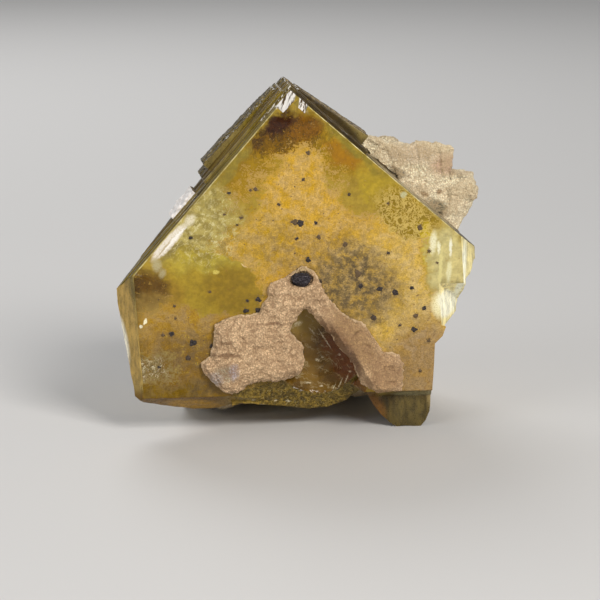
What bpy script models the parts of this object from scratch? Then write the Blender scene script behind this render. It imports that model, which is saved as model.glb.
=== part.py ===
"""A fluorite specimen: the corner of one yellow cube in front of a block of tan matrix rock.

The cube's front face carries a forked patch of the same rock, with one black grain in it.
Sizes are in millimetres until a mesh is made. Most of them are face coordinates: across and down
lie in the cube's front face, counted from its top corner, and back runs into the crystal.
"""

import math

import bmesh
import bpy
from mathutils import Vector, geometry, noise

MM = 0.001
GAP = 0.3
SNAP = 1e-5

# The specimen: its front face is turned a little to the right, and its top corner stands this high.
CORNER_HEIGHT = 48.9
CORNER_X = -1.087
CORNER_Y = -14.061
FACE_TURN = math.radians(7.0)
EDGE_LEAN = math.radians(41.0)

# The crystal: a thick broken corner of a cube, and a deeper stretch behind its top.
PLATE_DEPTH = 10.5
TOP_DEPTH = 13.3
TOP_LEFT_LENGTH = 17.5
TOP_RIGHT_LENGTH = 14.5
FACET_LEFT = 19.6
FACET_RIGHT = 18.5
FACET_BELOW = 43.3
RIGHT_REACH = 26.8
HOLLOW_CENTRE = Vector((4.4, 39.6, -0.9))
HOLLOW_SIZE = Vector((6.2, 9.6, 3.4))
HOLLOW_LEAN = 0.24

# The lowest point of the crystal and the rock is a flat place at the height of the ground.
FOOT_DOWN = CORNER_HEIGHT

# The rock behind, the patch of rock in front and the black grain in the patch.
ROCK_CENTRE = Vector((6.0, 30.0, 19.0))
ROCK_ROUGHNESS = 0.55
ROCK_BEDDING = 3.2
LEDGE_HEIGHT = 0.16
ROCK_FACES_KEPT = 0.3
PATCH_STEP = 0.75
PATCH_THICKNESS = 1.15
GRAIN_CENTRE = Vector((1.35, 26.35, -1.55))
GRAIN_SIZE = Vector((1.42, 0.9, 0.72))

# Directions in face coordinates, the two upper edges of the face among them.
ACROSS = Vector((1.0, 0.0, 0.0))
DOWN = Vector((0.0, 1.0, 0.0))
BACK = Vector((0.0, 0.0, 1.0))
LEFT_EDGE = Vector((-math.sin(EDGE_LEAN), math.cos(EDGE_LEAN), 0.0))
RIGHT_EDGE = Vector((math.cos(EDGE_LEAN), math.sin(EDGE_LEAN), 0.0))

# Fluorite splits along these planes of its octahedron.
SPLIT_LEFT = (LEFT_EDGE - RIGHT_EDGE - BACK).normalized()
SPLIT_RIGHT = (RIGHT_EDGE - LEFT_EDGE - BACK).normalized()
SPLIT_BELOW = (math.sqrt(2.0) * DOWN - BACK).normalized()


def placed(point):
    """A point in face coordinates and millimetres, in the specimen's own frame and metres."""
    across, down, back = point
    x = CORNER_X + across * math.cos(FACE_TURN) - back * math.sin(FACE_TURN)
    y = CORNER_Y + across * math.sin(FACE_TURN) + back * math.cos(FACE_TURN)
    return Vector((x, y, CORNER_HEIGHT - down)) * MM


def finish(shape, name, material=None):
    """Turns a bmesh in face coordinates into an object. Without a material it is a hidden helper."""
    bmesh.ops.recalc_face_normals(shape, faces=shape.faces[:])
    if shape.calc_volume(signed=True) < 0.0:
        bmesh.ops.reverse_faces(shape, faces=shape.faces[:])
    for vertex in shape.verts:
        vertex.co = placed(vertex.co)
    mesh = bpy.data.meshes.new(name)
    shape.to_mesh(mesh)
    shape.free()
    piece = bpy.data.objects.new(name, mesh)
    bpy.context.scene.collection.objects.link(piece)
    if material is None:
        piece.hide_render = True
        piece.display_type = "WIRE"
    else:
        mesh.materials.append(material)
    return piece


def stone(name, colour, roughness, transmission=0.0):
    material = bpy.data.materials.new(name)
    material.use_nodes = True
    surface = material.node_tree.nodes["Principled BSDF"]
    surface.inputs["Base Color"].default_value = (*colour, 1.0)
    surface.inputs["Roughness"].default_value = roughness
    surface.inputs["Metallic"].default_value = 0.0
    surface.inputs["Transmission Weight"].default_value = transmission
    return material


def block(planes):
    """The solid behind every plane. A plane is an outward direction and how far it lies out."""
    shape = bmesh.new()
    bmesh.ops.create_cube(shape, size=300.0)
    for direction, reach in planes:
        whole = shape.verts[:] + shape.edges[:] + shape.faces[:]
        origin = direction * (reach / direction.length_squared)
        cut = bmesh.ops.bisect_plane(
            shape, geom=whole, dist=SNAP, plane_co=origin, plane_no=direction, clear_outer=True
        )
        rim = [part for part in cut["geom_cut"] if isinstance(part, bmesh.types.BMEdge)]
        if rim:
            bmesh.ops.edgeloop_fill(shape, edges=rim)
    return shape


def grown(planes, by):
    """The same planes, each moved out by a distance in millimetres."""
    return [(direction, reach + by * direction.length) for direction, reach in planes]


def prism(outline, front, back):
    """An outline in the face, a list of (across, down), carried from one depth to another."""
    shape = bmesh.new()
    sheet = shape.faces.new([shape.verts.new((across, down, front)) for across, down in outline])
    walls = bmesh.ops.extrude_face_region(shape, geom=[sheet])
    moved = [part for part in walls["geom"] if isinstance(part, bmesh.types.BMVert)]
    bmesh.ops.translate(shape, verts=moved, vec=BACK * (back - front))
    return shape


def ball(centre, size, subdivisions):
    shape = bmesh.new()
    bmesh.ops.create_icosphere(shape, subdivisions=subdivisions, radius=1.0)
    for vertex in shape.verts:
        vertex.co = centre + vertex.co * size
    return shape


def combine(target, helper, operation):
    modifier = target.modifiers.new(helper.name, "BOOLEAN")
    modifier.operation = operation
    modifier.solver = "EXACT"
    modifier.object = helper


def main_plate():
    return [
        (-BACK, 0.0),
        (-LEFT_EDGE, 0.0),
        (-RIGHT_EDGE, 0.0),
        (BACK, PLATE_DEPTH),
        (SPLIT_LEFT, FACET_LEFT),
        (BACK - 0.475 * ACROSS, 14.8),
        (BACK - 0.475 * ACROSS + 0.22 * DOWN, 21.4),
        (SPLIT_RIGHT, FACET_RIGHT),
        (ACROSS, RIGHT_REACH),
        (ACROSS + 0.4 * BACK, RIGHT_REACH + 2.2),
        (SPLIT_BELOW, FACET_BELOW * SPLIT_BELOW.y),
        (DOWN + 0.25 * BACK, 46.9),
    ]


def top_back(shrink, left_start, right_start, left_end, right_end, front):
    """The planes that a growth layer on the top shares with the others."""
    return [
        (-LEFT_EDGE, -left_start),
        (-RIGHT_EDGE, -right_start),
        (LEFT_EDGE, left_end),
        (RIGHT_EDGE, right_end),
        (-BACK, -front),
        (BACK, TOP_DEPTH - shrink),
        (BACK - 0.45 * DOWN, 12.0 - shrink),
    ]


def top_layers():
    """The deeper stretch behind the top, and the growth layers that step out from its two sides."""
    core = top_back(0.0, 0.04, 0.04, TOP_LEFT_LENGTH, TOP_RIGHT_LENGTH, 5.0)
    left_step = top_back(0.08, 0.9, -0.3, 17.8, 6.0, 4.2)
    left_slope = top_back(0.16, 1.6, -2.0, 16.2, 5.0, 8.2)
    left_slope.append((-RIGHT_EDGE - 0.05 * LEFT_EDGE, 0.38))
    left_tongue = top_back(0.0, 19.8, -0.55, 24.6, 3.0, 4.4)
    left_tongue.append((BACK - 0.475 * ACROSS, 15.4))
    right_step = top_back(0.12, -0.5, -0.1, 6.0, 14.5, 2.6)
    right_slope = top_back(0.2, -4.0, 1.8, 5.0, 13.9, 6.4)
    right_slope.append((-LEFT_EDGE - 0.11 * RIGHT_EDGE, 0.55))
    return [core, left_step, left_slope, left_tongue, right_step, right_slope]


def lower_lip():
    """The rounded broken edge below the hollow, set back a little from the face."""
    return prism([(-8.3, 38.0), (-8.3, 48.0), (11.6, 48.0), (11.6, 38.0)], 1.8, 7.0)


def lower_lump():
    """The greenish lump at the right that reaches the ground."""
    return prism([(10.4, 38.4), (10.4, 49.6), (20.6, 49.6), (20.6, 38.4)], 1.5, 8.6)


def broken_edge():
    """What is missing beyond the right and the lower edge, from the right corner round to the left."""
    right_steps = [
        (34.0, 25.0),
        (26.6, 25.0),
        (25.9, 26.6),
        (25.0, 27.4),
        (25.0, 29.0),
        (24.3, 32.7),
        (22.2, 34.0),
        (21.7, 35.4),
        (20.6, 36.5),
        (20.5, 39.6),
        (20.3, 43.0),
    ]
    lump = [(20.2, 46.8), (19.7, 48.1), (18.9, FOOT_DOWN), (15.4, FOOT_DOWN), (14.4, 48.3)]
    right_notch = [(13.3, 47.2), (12.1, 45.6), (10.7, 43.3)]
    lip = [(8.4, 45.3), (6.0, 46.1), (3.1, 46.4), (0.3, 45.9), (-3.7, 45.2), (-6.9, 44.9)]
    left_lobe = [(-9.3, 45.6), (-11.0, 46.1), (-13.5, 46.0), (-17.2, 45.1), (-20.9, 44.1), (-23.0, 42.6)]
    outside = [(-40.0, 36.0), (-40.0, 70.0), (34.0, 70.0)]
    return prism(right_steps + lump + right_notch + lip + left_lobe + outside, -2.0, 30.0)


def chips():
    """Small breaks: three at the top corner and one at the right edge."""
    outside = 2.0
    left_chip = [(RIGHT_EDGE + BACK, 1.15), (LEFT_EDGE, 3.0)]
    left_chip += [(-RIGHT_EDGE, outside), (-BACK, outside), (-LEFT_EDGE, outside)]
    right_chip = [(LEFT_EDGE + BACK, 1.1), (RIGHT_EDGE - 0.3 * LEFT_EDGE, 3.2)]
    right_chip += [(-RIGHT_EDGE, -1.5), (-BACK, outside), (-LEFT_EDGE, outside)]
    corner_chip = [(LEFT_EDGE + RIGHT_EDGE + BACK, 1.5)]
    corner_chip += [(-RIGHT_EDGE, outside), (-BACK, outside), (-LEFT_EDGE, outside)]
    right_facet = [(-SPLIT_RIGHT, -15.6), (-SPLIT_BELOW, -22.7), (DOWN - 0.35 * ACROSS, 26.3)]
    right_facet += [(-BACK, outside), (ACROSS, 40.0)]
    return [left_chip, right_chip, corner_chip, right_facet]


def lower_break():
    """The sloping break below the left leg of the patch, from the face back to the lower lip."""
    slope = 1.8 * DOWN + 0.43 * ACROSS - 3.4 * BACK
    return [(-slope, -73.6), (-ACROSS - 0.5 * BACK, 8.4), (ACROSS, 10.5), (-BACK, 2.0)]


def hollow():
    """The shell-shaped break between the two legs of the patch, open below and partly under them."""
    shape = ball(HOLLOW_CENTRE, HOLLOW_SIZE, 4)
    for vertex in shape.verts:
        lean = HOLLOW_LEAN * (vertex.co.y - HOLLOW_CENTRE.y)
        vertex.co += lean * ACROSS + 0.3 * noise.noise_vector(vertex.co * 0.3)
    return shape


def make_crystal():
    material = stone("fluorite", (0.78, 0.62, 0.2), 0.12, transmission=0.7)
    crystal = finish(block(main_plate()), "fluorite_crystal", material)
    for number, planes in enumerate(top_layers()):
        combine(crystal, finish(block(planes), f"growth_layer_{number}"), "UNION")
    combine(crystal, finish(lower_lip(), "lower_lip"), "UNION")
    combine(crystal, finish(lower_lump(), "lower_lump"), "UNION")
    combine(crystal, finish(broken_edge(), "broken_edge"), "DIFFERENCE")
    for number, planes in enumerate(chips()):
        combine(crystal, finish(block(planes), f"chip_{number}"), "DIFFERENCE")
    combine(crystal, finish(block(lower_break()), "lower_break"), "DIFFERENCE")
    combine(crystal, finish(hollow(), "hollow"), "DIFFERENCE")


def rock_planes():
    """The broken faces of the rock, before it is roughened."""
    return [
        (0.12 * ACROSS - BACK, -8.7),
        (BACK + 0.1 * ACROSS, 31.0),
        (BACK - 0.5 * DOWN, 19.5),
        (BACK + 0.55 * DOWN, 53.5),
        (0.17 * ACROSS - DOWN + 0.5 * BACK, 0.0),
        (0.17 * ACROSS - DOWN - 0.3 * BACK, -9.5),
        (ACROSS, 28.8),
        (ACROSS + 0.4 * DOWN, 37.2),
        (ACROSS + 0.5 * BACK + 0.1 * DOWN, 38.5),
        (0.94 * ACROSS - DOWN, 12.4),
        (-RIGHT_EDGE + 0.25 * BACK + 0.03 * LEFT_EDGE, 1.6),
        (-ACROSS + 0.15 * BACK, 16.5),
        (-ACROSS - 0.6 * BACK, 7.0),
        (-ACROSS + 0.6 * BACK, 25.0),
        (DOWN - 0.2126 * BACK + 0.06 * ACROSS, 44.2),
        (DOWN, FOOT_DOWN + 0.8),
    ]


def reach_of(way, plane):
    """How far one can go from the rock's centre before a plane is met."""
    direction, reach = plane
    towards = way.dot(direction)
    return (reach - direction.dot(ROCK_CENTRE)) / towards if towards > 0.01 else math.inf


def rock_blank():
    """A block with the broken faces, roughened by lumps and by low bedding ledges.

    Its right side is hollowed where it stands out beyond the crystal.
    """
    shape = bmesh.new()
    bmesh.ops.create_icosphere(shape, subdivisions=5, radius=1.0)
    planes = rock_planes()
    undercut = (ACROSS + 0.56 * DOWN, 38.7)
    for vertex in shape.verts:
        way = vertex.co.copy()
        reach = min(reach_of(way, plane) for plane in planes)
        point = ROCK_CENTRE + way * reach
        share = min(1.0, max(0.0, (29.0 - point.y) / 4.0))
        reach = (1.0 - share) * reach + share * min(reach, reach_of(way, undercut))
        point = ROCK_CENTRE + way * reach
        lumps = noise.fractal(point * 0.22, 0.9, 2.1, 4)
        ledge = math.sin(point.y * math.tau / ROCK_BEDDING + 2.0 * noise.noise(point * 0.15))
        vertex.co = point + way * (ROCK_ROUGHNESS * lumps + LEDGE_HEIGHT * ledge)
    return shape


def make_rock():
    rock = finish(rock_blank(), "matrix_rock", stone("tan_rock", (0.72, 0.55, 0.4), 0.9))
    decimate = rock.modifiers.new("fewer_faces", "DECIMATE")
    decimate.ratio = ROCK_FACES_KEPT
    room = grown(main_plate(), GAP)
    room = [plane for plane in room if plane[0].y < 0.2]
    combine(rock, finish(block(room), "room_for_plate"), "DIFFERENCE")
    for number, planes in enumerate(top_layers()):
        cutter = finish(block(grown(planes, GAP)), f"room_for_layer_{number}")
        combine(rock, cutter, "DIFFERENCE")
    ground = finish(block([(-DOWN, -FOOT_DOWN)]), "ground")
    combine(rock, ground, "DIFFERENCE")
    notch = [(-ACROSS, -24.9), (DOWN + 0.05 * ACROSS, 15.9)]
    combine(rock, finish(block(notch), "notch"), "DIFFERENCE")


def patch_outline():
    """The edge of the forked patch, clockwise from its top."""
    return [
        (1.5, 24.7),
        (3.1, 25.4),
        (4.0, 26.9),
        (4.5, 28.3),
        (5.5, 29.8),
        (7.0, 31.4),
        (8.4, 32.4),
        (10.1, 33.1),
        (10.9, 34.0),
        (12.0, 35.7),
        (13.0, 37.4),
        (14.2, 37.6),
        (15.3, 37.9),
        (15.9, 39.1),
        (15.9, 43.2),
        (12.0, 43.2),
        (10.0, 41.8),
        (9.3, 40.4),
        (8.8, 38.9),
        (7.7, 37.5),
        (6.5, 36.3),
        (5.7, 34.7),
        (4.1, 33.2),
        (3.0, 31.7),
        (2.0, 30.8),
        (1.2, 31.4),
        (0.3, 32.9),
        (-0.2, 34.0),
        (0.5, 35.0),
        (1.6, 36.2),
        (1.8, 38.4),
        (1.3, 40.1),
        (-0.6, 40.9),
        (-2.3, 41.2),
        (-4.4, 41.1),
        (-5.9, 41.5),
        (-7.0, 42.3),
        (-8.3, 42.9),
        (-9.8, 42.5),
        (-11.4, 41.0),
        (-12.5, 39.6),
        (-12.9, 38.4),
        (-11.5, 37.3),
        (-11.1, 35.8),
        (-10.8, 32.8),
        (-9.4, 32.1),
        (-7.2, 31.5),
        (-5.8, 31.6),
        (-4.5, 31.2),
        (-4.1, 30.0),
        (-3.3, 29.1),
        (-3.4, 28.0),
        (-3.0, 27.1),
        (-1.2, 26.5),
        (0.1, 25.6),
    ]


def along(start, end, step):
    """Points from start towards end, end left out, no further apart than step."""
    count = max(1, round((end - start).length / step))
    return [start.lerp(end, index / count) for index in range(count)]


def distance_to_edge(point, edge):
    pairs = zip(edge, edge[1:] + edge[:1])
    nearest = [geometry.intersect_point_line(point, a, b) for a, b in pairs]
    ends = zip(edge, edge[1:] + edge[:1])
    inside = [a.lerp(b, min(1.0, max(0.0, share))) for (a, b), (_, share) in zip(ends, nearest)]
    return min((point - candidate.to_2d()).length for candidate in inside)


def patch_thickness(point, edge):
    """How far the patch stands out: thin at its edge, thickest along the ridge of its right leg."""
    inward = distance_to_edge(point, edge)
    rise = min(1.0, inward / 1.1) ** 0.5
    lumps = noise.fractal(Vector((point.x, point.y, 3.0)) * 0.45, 0.9, 2.1, 4)
    ridge_across = 2.6 + (point.y - 30.0) * 0.78
    on_ridge = math.exp(-(((point.x - ridge_across) / 1.5) ** 2))
    ridge = 1.5 * on_ridge * max(0.0, min(1.0, (point.y - 30.0) / 4.0))
    return 0.4 + rise * (PATCH_THICKNESS + 0.45 * lumps + ridge)


def patch_blank():
    """A rough sheet over the outline, with a flat back that follows the cube face."""
    corners = [Vector(corner) for corner in patch_outline()]
    edge = []
    for start, end in zip(corners, corners[1:] + corners[:1]):
        edge += along(start, end, PATCH_STEP)
    points = list(edge)
    rows = range(int(24.0 / PATCH_STEP), int(44.0 / (PATCH_STEP * 0.866)))
    for row in rows:
        for column in range(int(-14.0 / PATCH_STEP), int(17.0 / PATCH_STEP)):
            point = Vector(((column + 0.5 * (row % 2)) * PATCH_STEP, row * PATCH_STEP * 0.866))
            point += 0.12 * noise.noise_vector(Vector((point.x, point.y, 0.0))).to_2d()
            points.append(point)
    rim = list(range(len(edge)))
    kept, _, faces, origins, _, _ = geometry.delaunay_2d_cdt(points, [], [rim], 1, SNAP)
    used = sorted({index for face in faces for index in face})
    shape = bmesh.new()
    front = {}
    for index in used:
        point = kept[index]
        on_rim = any(origin < len(edge) for origin in origins[index])
        out = 0.4 if on_rim else patch_thickness(point, edge)
        front[index] = shape.verts.new((point.x, point.y, -GAP - out))
    for face in faces:
        shape.faces.new([front[index] for index in face])
    border = [side for side in shape.edges if side.is_boundary]
    walls = bmesh.ops.extrude_edge_only(shape, edges=border)
    for part in walls["geom"]:
        if isinstance(part, bmesh.types.BMVert):
            part.co.z = -GAP
    open_rim = [side for side in shape.edges if side.is_boundary]
    bmesh.ops.edgeloop_fill(shape, edges=open_rim)
    return shape


def make_patch():
    patch = finish(patch_blank(), "matrix_crust", stone("tan_crust", (0.74, 0.56, 0.42), 0.9))
    pocket = ball(GRAIN_CENTRE, GRAIN_SIZE + Vector((GAP, GAP, GAP)), 2)
    combine(patch, finish(pocket, "pocket"), "DIFFERENCE")


def make_grain():
    """A rounded grain with a few flat broken faces."""
    shape = ball(GRAIN_CENTRE, GRAIN_SIZE, 3)
    flats = [
        (Vector((0.2, -0.3, -1.0)), 0.78),
        (Vector((-0.8, 0.2, -0.7)), 0.84),
        (Vector((0.7, 0.6, -0.5)), 0.86),
        (Vector((0.1, -1.0, 0.0)), 0.88),
    ]
    for vertex in shape.verts:
        way = vertex.co - GRAIN_CENTRE
        way = Vector((way.x / GRAIN_SIZE.x, way.y / GRAIN_SIZE.y, way.z / GRAIN_SIZE.z))
        for direction, reach in flats:
            out = way.dot(direction.normalized())
            if out > reach:
                way -= direction.normalized() * (out - reach)
        vertex.co = GRAIN_CENTRE + way * GRAIN_SIZE
    finish(shape, "black_grain", stone("black_mineral", (0.02, 0.02, 0.035), 0.3))


for old in list(bpy.data.objects):
    bpy.data.objects.remove(old, do_unlink=True)
make_crystal()
make_rock()
make_patch()
make_grain()
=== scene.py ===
"""The looks of the fluorite specimen: its clear yellow crystal, its sugary tan rock and its dark specks.

Lengths are in millimetres until a mesh is made. Places on the specimen are face coordinates:
across and down lie in the crystal's front face, counted from its top corner, and back runs into it.
"""

import math
import random

import bmesh
import bpy
from mathutils import Matrix, Vector, noise


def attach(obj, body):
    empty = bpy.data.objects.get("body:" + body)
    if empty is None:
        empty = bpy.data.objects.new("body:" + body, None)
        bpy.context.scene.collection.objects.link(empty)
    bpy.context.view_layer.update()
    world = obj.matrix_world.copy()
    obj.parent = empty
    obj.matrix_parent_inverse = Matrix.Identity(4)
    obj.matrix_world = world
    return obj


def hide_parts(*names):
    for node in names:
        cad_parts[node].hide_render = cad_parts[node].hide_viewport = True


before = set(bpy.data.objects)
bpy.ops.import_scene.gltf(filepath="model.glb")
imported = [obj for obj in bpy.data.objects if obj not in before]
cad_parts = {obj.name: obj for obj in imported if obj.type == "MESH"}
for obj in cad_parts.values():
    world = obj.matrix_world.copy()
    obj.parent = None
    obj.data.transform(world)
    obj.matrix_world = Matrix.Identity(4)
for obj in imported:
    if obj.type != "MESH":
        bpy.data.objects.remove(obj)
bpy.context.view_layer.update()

MM = 0.001
WELD = 2e-6
SEED = 11

# The specimen's frame, as in the CAD source.
CORNER = Vector((-1.087, -14.061, 48.9))
FACE_TURN = math.radians(7.0)
EDGE_LEAN = math.radians(41.0)
FROM_FACE = Matrix(
    (
        (math.cos(FACE_TURN), 0.0, -math.sin(FACE_TURN)),
        (math.sin(FACE_TURN), 0.0, math.cos(FACE_TURN)),
        (0.0, -1.0, 0.0),
    )
)
ACROSS = Vector((1.0, 0.0, 0.0))
DOWN = Vector((0.0, 1.0, 0.0))
BACK = Vector((0.0, 0.0, 1.0))
LEFT_EDGE = Vector((-math.sin(EDGE_LEAN), math.cos(EDGE_LEAN), 0.0))
RIGHT_EDGE = Vector((math.cos(EDGE_LEAN), math.sin(EDGE_LEAN), 0.0))

# The shell-shaped hollow and the break below it, as in the CAD source.
HOLLOW_CENTRE = Vector((4.4, 39.6, -0.9))
HOLLOW_SIZE = Vector((6.2, 9.6, 3.4))
HOLLOW_LEAN = 0.24
HOLLOW_NOISE = 0.3

# Bright glints in the hollow: across, down, half length, half width and turn.
GLINTS = [
    (1.2, 33.4, 0.50, 0.30, -20.0),
    (5.1, 35.9, 1.5, 0.07, 58.0),
    (3.2, 34.6, 0.5, 0.10, 50.0),
    (4.1, 39.0, 0.28, 0.15, 20.0),
    (4.8, 38.6, 0.18, 0.10, 40.0),
    (7.1, 38.2, 0.16, 0.12, 0.0),
    (2.8, 42.2, 0.36, 0.10, 10.0),
    (4.6, 42.8, 0.20, 0.10, 0.0),
    (-0.2, 44.8, 0.30, 0.13, 10.0),
    (-2.0, 44.6, 0.18, 0.12, 0.0),
    (-5.2, 44.4, 0.24, 0.12, 0.0),
    (8.6, 40.6, 0.14, 0.12, 0.0),
    (8.2, 41.7, 0.07, 0.6, 20.0),
    (7.3, 42.4, 0.06, 0.7, 24.0),
    (6.4, 43.0, 0.06, 0.5, 24.0),
]
LOWER_BREAK = Vector((0.43, 1.8, -3.4)).normalized()

# The camera: it looks down by this angle on a point 1.25 mm right of the corner's own line.
CAMERA_TILT = math.radians(12.0)
CAMERA_DISTANCE = 400.0
CAMERA_TARGET = Vector((0.163, -14.061, 19.27))
FOCAL_PIXELS = 2840.0
IMAGE_PIXELS = 600.0
SENSOR = 36.0

# The larger dark specks in the front face: across, down and radius.
SPECKS = [
    (0.4, 18.5, 0.5),
    (1.3, 18.6, 0.5),
    (3.5, 18.7, 0.29),
    (0.8, 20.8, 0.26),
    (3.9, 20.7, 0.34),
    (7.6, 21.9, 0.43),
    (2.4, 23.9, 0.43),
    (9.5, 26.1, 0.5),
    (9.9, 27.9, 0.43),
    (12.6, 28.4, 0.5),
    (14.9, 28.9, 0.5),
    (17.2, 28.3, 0.29),
    (4.1, 27.1, 0.34),
    (11.8, 32.5, 0.48),
    (15.5, 33.7, 0.24),
    (17.6, 34.4, 0.48),
    (19.0, 31.3, 0.34),
    (17.8, 32.4, 0.34),
    (19.7, 36.0, 0.31),
    (18.5, 40.4, 0.26),
    (13.8, 23.2, 0.29),
    (19.6, 23.1, 0.29),
    (20.8, 24.8, 0.22),
    (18.3, 19.6, 0.41),
    (13.7, 16.1, 0.22),
    (8.2, 14.7, 0.26),
    (2.4, 8.7, 0.34),
    (1.7, 12.5, 0.26),
    (-1.7, 15.9, 0.26),
    (-5.0, 13.7, 0.31),
    (-5.7, 13.8, 0.24),
    (-8.7, 14.2, 0.29),
    (-9.4, 17.2, 0.22),
    (-7.0, 17.7, 0.29),
    (-7.6, 18.7, 0.19),
    (-14.1, 20.4, 0.29),
    (-11.5, 28.2, 0.22),
    (-6.2, 29.6, 0.24),
    (-4.7, 29.4, 0.46),
    (-6.4, 31.0, 0.41),
    (-4.7, 31.0, 0.43),
    (-16.5, 30.1, 0.22),
    (-16.4, 31.9, 0.22),
    (-16.9, 34.1, 0.41),
    (-18.1, 34.2, 0.26),
    (-13.8, 35.5, 0.58),
    (-11.3, 36.0, 0.36),
    (-14.6, 37.6, 0.41),
    (-18.7, 38.8, 0.24),
]
SPECK_BULGE = 0.1

# The black grain at the top of the crust, as in the CAD source, and a little of its pocket.
GRAIN_CENTRE = Vector((1.35, 26.35, -1.55))
GRAIN_SIZE = Vector((1.5, 1.0, 0.86))


def placed(point):
    """A point in face coordinates and millimetres, in the frame and metres."""
    return (CORNER + FROM_FACE @ Vector(point)) * MM


def in_face(point):
    """A point of the frame, in metres, in face coordinates and millimetres."""
    return FROM_FACE.transposed() @ (Vector(point) / MM - CORNER)


class Nodes:
    """A material with one short method for each kind of node that it needs."""

    def __init__(self, name):
        self.material = bpy.data.materials.new(name)
        self.material.use_nodes = True
        self.tree = self.material.node_tree
        self.surface = self.tree.nodes["Principled BSDF"]
        self.parts = {}

    def set(self, socket, value):
        if isinstance(value, bpy.types.NodeSocket):
            self.tree.links.new(value, socket)
        elif isinstance(value, tuple) and socket.type == "RGBA":
            socket.default_value = (*value[:3], 1.0)
        else:
            socket.default_value = value

    def add(self, kind, inputs, **settings):
        node = self.tree.nodes.new("ShaderNode" + kind)
        for key, value in settings.items():
            setattr(node, key, value)
        for key, value in inputs.items():
            self.set(node.inputs[key], value)
        return node

    def finish(self, **inputs):
        for key, value in inputs.items():
            self.set(self.surface.inputs[key.replace("_", " ")], value)
        return self.material

    def math(self, operation, first, second=0.0):
        return self.add("Math", {0: first, 1: second}, operation=operation).outputs[0]

    def vector(self, operation, first, second=(0.0, 0.0, 0.0)):
        return self.add("VectorMath", {0: first, 1: second}, operation=operation).outputs[0]

    def scaled(self, place, by):
        return self.vector("MULTIPLY", place, by)

    def turned(self, place, degrees, by):
        """A place turned in the face, and then stretched."""
        inputs = {"Vector": place, "Rotation": (0.0, 0.0, math.radians(-degrees))}
        return self.scaled(self.add("Mapping", inputs).outputs[0], by)

    def noise(self, place, scale, detail=3.0, roughness=0.5, distortion=0.0):
        inputs = {"Vector": place, "Scale": scale, "Detail": detail}
        inputs.update({"Roughness": roughness, "Distortion": distortion})
        return self.add("TexNoise", inputs).outputs

    def field(self, place, scale, detail=2.0, roughness=0.6, low=0.32, high=0.68):
        """Noise stretched to run from 0 to 1."""
        return self.ramp(self.noise(place, scale, detail, roughness)["Fac"], low, high)

    def cells(self, place, scale, feature="F1", randomness=1.0):
        inputs = {"Vector": place, "Scale": scale, "Randomness": randomness}
        return self.add("TexVoronoi", inputs, feature=feature).outputs

    def ramp(self, value, low, high, start=0.0, end=1.0):
        inputs = {0: value, 1: low, 2: high, 3: start, 4: end}
        return self.add("MapRange", inputs, interpolation_type="SMOOTHSTEP").outputs[0]

    def blend(self, share, first, second):
        """A colour between two colours."""
        inputs = {0: share, 6: first, 7: second}
        return self.add("Mix", inputs, data_type="RGBA").outputs[2]

    def between(self, share, first, second):
        """A number between two numbers."""
        return self.add("Mix", {0: share, 2: first, 3: second}, data_type="FLOAT").outputs[0]

    def shaded(self, colour, by):
        """A colour made darker or lighter by a number."""
        return self.add("HueSaturation", {"Value": by, "Color": colour}).outputs[0]

    def paler(self, colour, by):
        """A colour made greyer or stronger by a number."""
        return self.add("HueSaturation", {"Saturation": by, "Color": colour}).outputs[0]

    def attribute(self, name):
        return self.add("Attribute", {}, attribute_name=name).outputs["Fac"]

    def face_place(self):
        """Face coordinates in millimetres at the point that is shaded."""
        turn = FROM_FACE.transposed()
        inputs = {
            "Vector": self.add("TexCoord", {}).outputs["Object"],
            "Location": -(turn @ CORNER),
            "Rotation": turn.to_euler("XYZ"),
            "Scale": (1.0 / MM, 1.0 / MM, 1.0 / MM),
        }
        return self.add("Mapping", inputs, vector_type="POINT").outputs[0]

    def moved(self, place, by, amount):
        """A place moved in the face by the colour of a noise, up to an amount each way."""
        shift = self.vector("SUBTRACT", by, (0.5, 0.5, 0.5))
        return self.vector("ADD", place, self.scaled(shift, (2 * amount, 2 * amount, 0.0)))

    def split(self, place):
        """The three numbers of a place, made once for each place."""
        key = place.node.name
        if key not in self.parts:
            self.parts[key] = self.add("SeparateXYZ", {0: place}).outputs
        return self.parts[key]

    def line(self, place, across, down, offset):
        """The sum of a place's first two numbers, each times a factor, and an offset."""
        parts = self.split(place)
        inner = self.add("Math", {0: parts[1], 1: down, 2: offset}, operation="MULTIPLY_ADD").outputs[0]
        return self.add("Math", {0: parts[0], 1: across, 2: inner}, operation="MULTIPLY_ADD").outputs[0]

    def zone(self, place, centre, size, turn=0.0, soft=0.35):
        """One inside an ellipse of the face, and zero outside, with a soft edge."""
        squares = None
        for part, reach in enumerate(size):
            angle = math.radians(turn) + part * math.pi / 2
            across, down = math.cos(angle) / reach, math.sin(angle) / reach
            offset = -centre[0] * across - centre[1] * down
            way = self.line(place, across, down, offset)
            square = {0: way, 1: way, 2: 0.0 if squares is None else squares}
            squares = self.add("Math", square, operation="MULTIPLY_ADD").outputs[0]
        return self.ramp(squares, (1.0 + soft) ** 2, max(0.0, 1.0 - soft) ** 2)

    def coloured(self, colour, place, zones):
        """A colour with the colours of the zones laid over it."""
        for centre, size, turn, soft, tint in zones:
            colour = self.blend(self.zone(place, centre, size, turn, soft), colour, tint)
        return colour

    def valued(self, value, place, zones):
        """A number with the numbers of the zones laid over it."""
        for centre, size, turn, soft, amount in zones:
            value = self.between(self.zone(place, centre, size, turn, soft), value, amount)
        return value

    def relief(self, height, distance):
        inputs = {"Height": height, "Strength": 1.0, "Distance": distance * MM}
        return self.add("Bump", inputs).outputs["Normal"]


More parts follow.
